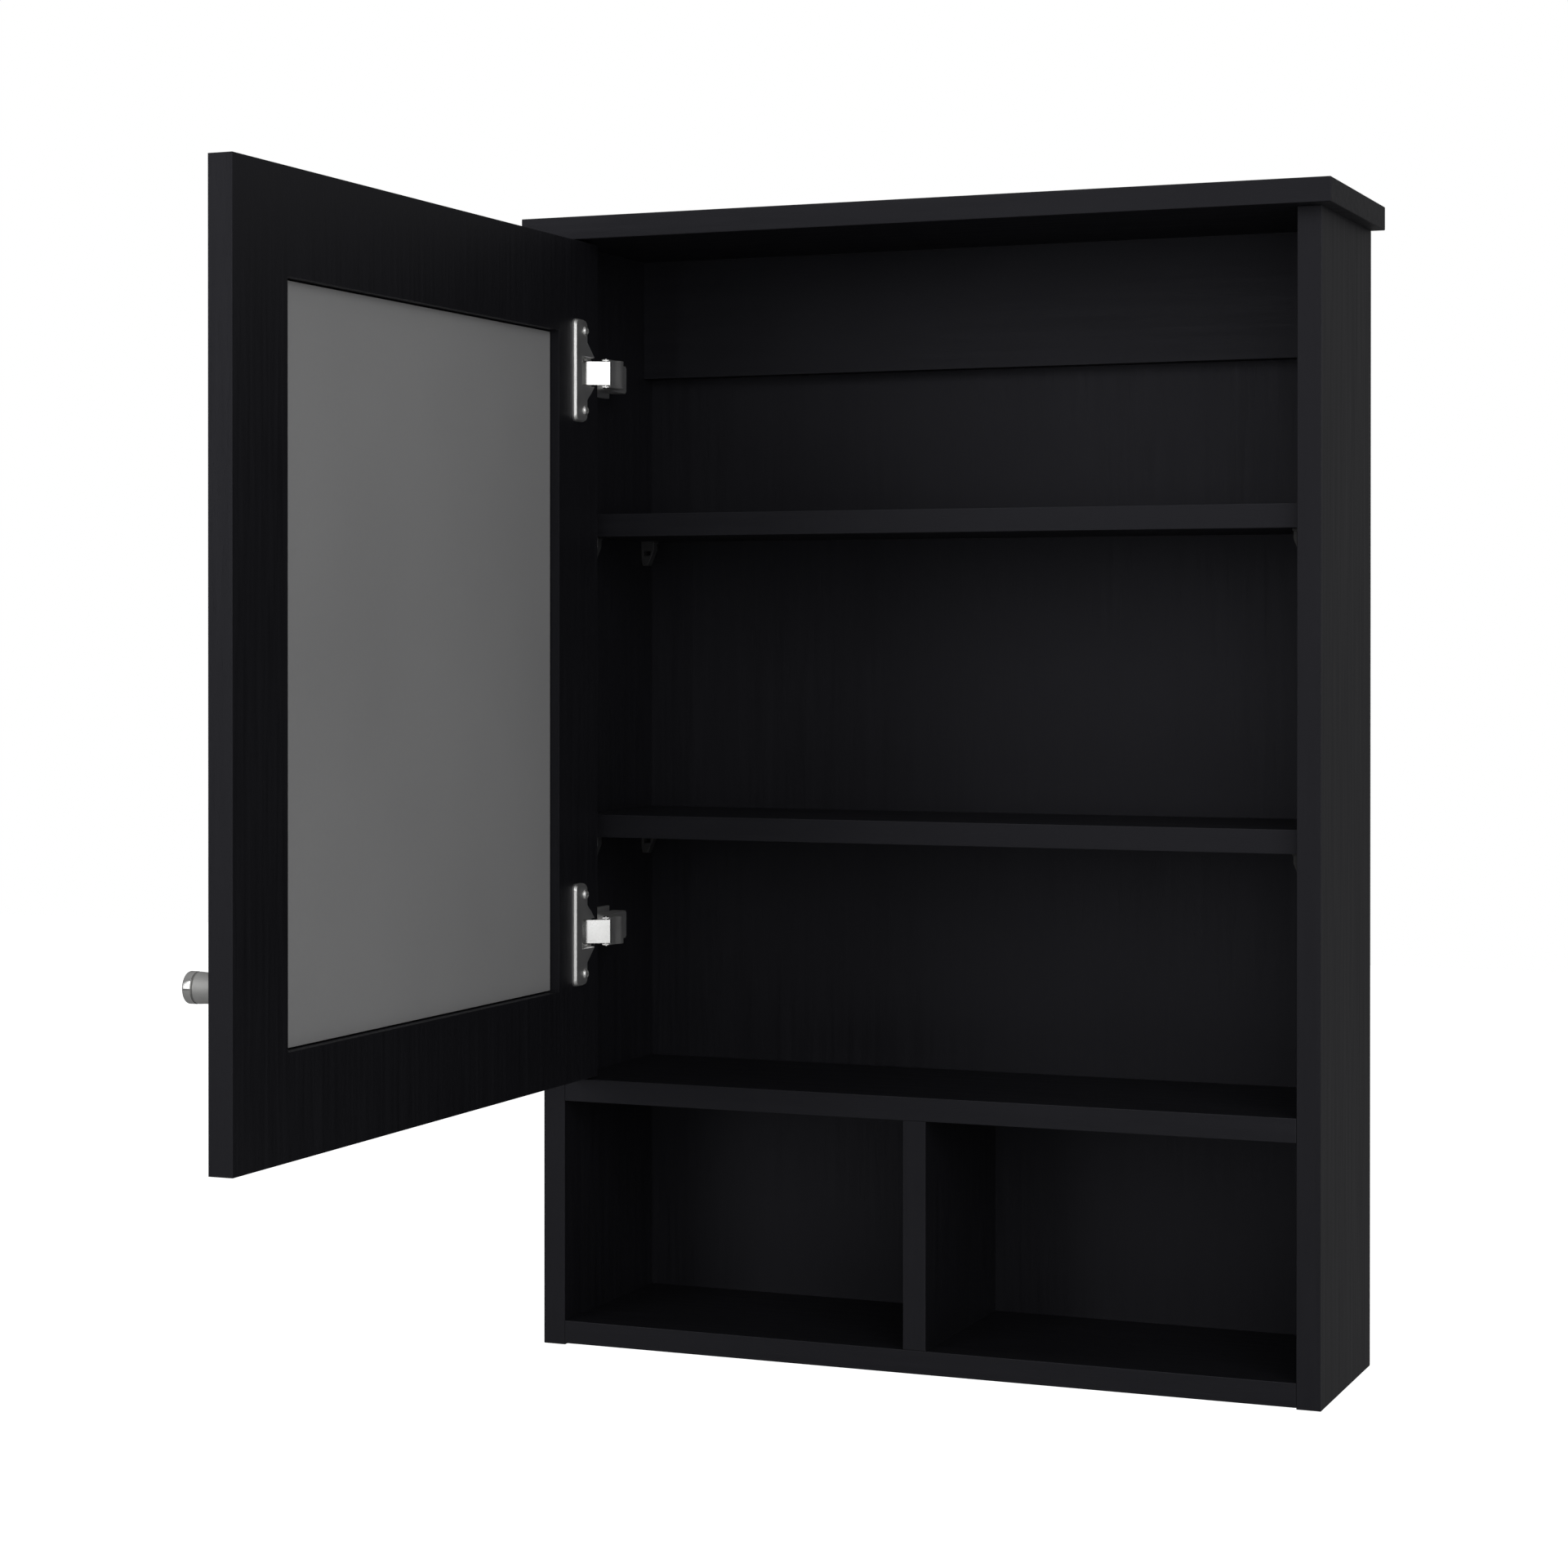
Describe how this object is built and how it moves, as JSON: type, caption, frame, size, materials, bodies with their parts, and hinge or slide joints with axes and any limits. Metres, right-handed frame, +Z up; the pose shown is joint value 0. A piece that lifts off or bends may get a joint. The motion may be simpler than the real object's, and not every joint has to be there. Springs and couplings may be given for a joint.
{
  "type": "medicine cabinet with mirror",
  "caption": "Wall-hung black medicine cabinet: a framed mirror door on concealed cup hinges, adjustable shelves behind it and open cubbies below.",
  "frame": {"origin": "on the wall face of the back panel, at mid width and at the mid height of the hanging rail behind which the cabinet is screwed to the wall", "axes": "+X to the right across the cabinet as seen from the room, +Y into the wall, +Z up"},
  "size_m": [0.536, 0.627, 0.746],
  "materials": {
    "black_foil": "black wood-grain foil on particle board, matt",
    "mirror": "silvered flat glass",
    "mirror_backing": "grey protective film on the back of the mirror",
    "hinge_nickel": "nickel-plated pressed steel",
    "knob_chrome": "satin chrome",
    "pin_plastic": "dark moulded plastic"
  },
  "bodies": {
    "cabinet": {"left_side_panel": "black_foil", "right_side_panel": "black_foil", "crown_board": "black_foil", "bottom_panel": "black_foil", "fixed_shelf": "black_foil", "cubby_divider": "black_foil", "hanging_rail": "black_foil", "back_panel": "black_foil", "lower_shelf": "black_foil", "upper_shelf": "black_foil", "lower_shelf_pin_left_front": "pin_plastic", "lower_shelf_pin_left_rear": "pin_plastic", "lower_shelf_pin_right_front": "pin_plastic", "lower_shelf_pin_right_rear": "pin_plastic", "upper_shelf_pin_left_front": "pin_plastic", "upper_shelf_pin_left_rear": "pin_plastic", "upper_shelf_pin_right_front": "pin_plastic", "upper_shelf_pin_right_rear": "pin_plastic", "lower_hinge_arm": "hinge_nickel", "lower_mounting_plate": "hinge_nickel", "lower_hinge_arm_pin": "hinge_nickel", "lower_plate_screw_front": "hinge_nickel", "lower_plate_screw_rear": "hinge_nickel", "lower_arm_fixing_screw": "hinge_nickel", "lower_side_adjust_screw": "hinge_nickel", "upper_hinge_arm": "hinge_nickel", "upper_mounting_plate": "hinge_nickel", "upper_hinge_arm_pin": "hinge_nickel", "upper_plate_screw_front": "hinge_nickel", "upper_plate_screw_rear": "hinge_nickel", "upper_arm_fixing_screw": "hinge_nickel", "upper_side_adjust_screw": "hinge_nickel"},
    "door": {"door_frame": "black_foil", "mirror_glass": "mirror", "mirror_backing": "mirror_backing", "knob": "knob_chrome", "knob_stud": "hinge_nickel", "lower_hinge_cup": "hinge_nickel", "lower_hinge_cup_pin": "hinge_nickel", "lower_cup_screw_bottom": "hinge_nickel", "lower_cup_screw_top": "hinge_nickel", "upper_hinge_cup": "hinge_nickel", "upper_hinge_cup_pin": "hinge_nickel", "upper_cup_screw_bottom": "hinge_nickel", "upper_cup_screw_top": "hinge_nickel"},
    "upper_link": {"upper_hinge_link": "hinge_nickel"},
    "lower_link": {"lower_hinge_link": "hinge_nickel"}
  },
  "joints": [
    {"name": "upper_link_turn", "type": "hinge", "parent": "cabinet", "child": "upper_link", "pos_m": [-0.21716, -0.14441, -0.0465], "axis": [0, 0, 1], "range_deg": [-36.07, 0.81]},
    {"name": "door_swing", "type": "hinge", "parent": "upper_link", "child": "door", "pos_m": [-0.2305, -0.153, -0.0465], "axis": [0, 0, 1], "range_deg": [-2.8, 126.06]},
    {"name": "lower_link_turn", "type": "hinge", "parent": "cabinet", "child": "lower_link", "pos_m": [-0.21716, -0.14441, -0.4155], "axis": [0, 0, 1], "range_deg": [-36.07, 0.81]}
  ],
  "couplings": [
    {"joint": "upper_link_turn", "follows": "door_swing", "ratio": -0.28607},
    {"joint": "lower_link_turn", "follows": "door_swing", "ratio": -0.28607}
  ]
}
